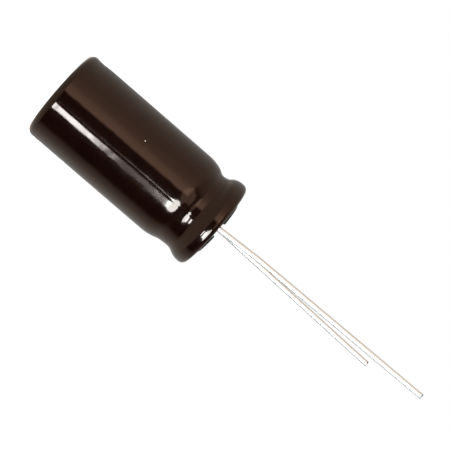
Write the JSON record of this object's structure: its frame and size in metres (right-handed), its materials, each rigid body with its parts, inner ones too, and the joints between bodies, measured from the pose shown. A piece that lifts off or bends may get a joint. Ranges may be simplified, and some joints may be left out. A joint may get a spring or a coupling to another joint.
{
  "type": "electrolytic capacitor",
  "caption": "Radial electrolytic capacitor: sleeved round can with a rolled groove, rubber end seal and two wire leads of unequal length.",
  "frame": {"origin": "middle of the closed end that the capacitor stands on", "axes": "+Z along the can towards the leads, Y through both leads with the long anode lead on -Y"},
  "size_m": [0.0104, 0.0104, 0.0486],
  "materials": {
    "sleeve_film": "glossy heat-shrunk film",
    "can_metal": "drawn, satin",
    "seal_rubber": "moulded, slightly glossy",
    "tinned_wire": "bright tinned, drawn",
    "tab_metal": "plain",
    "etched_foil": "etched, matt grey",
    "plain_foil": "etched, light grey",
    "separator_paper": "soaked kraft",
    "tape_film": "plain"
  },
  "bodies": {
    "root": {"sleeve": "sleeve_film", "can": "can_metal", "end_seal": "seal_rubber", "anode_lead": "tinned_wire", "cathode_lead": "tinned_wire", "anode_tab": "tab_metal", "cathode_tab": "tab_metal", "anode_foil": "etched_foil", "cathode_foil": "plain_foil", "inner_paper": "separator_paper", "outer_paper": "separator_paper", "winding_tape": "tape_film"}
  },
  "joints": []
}
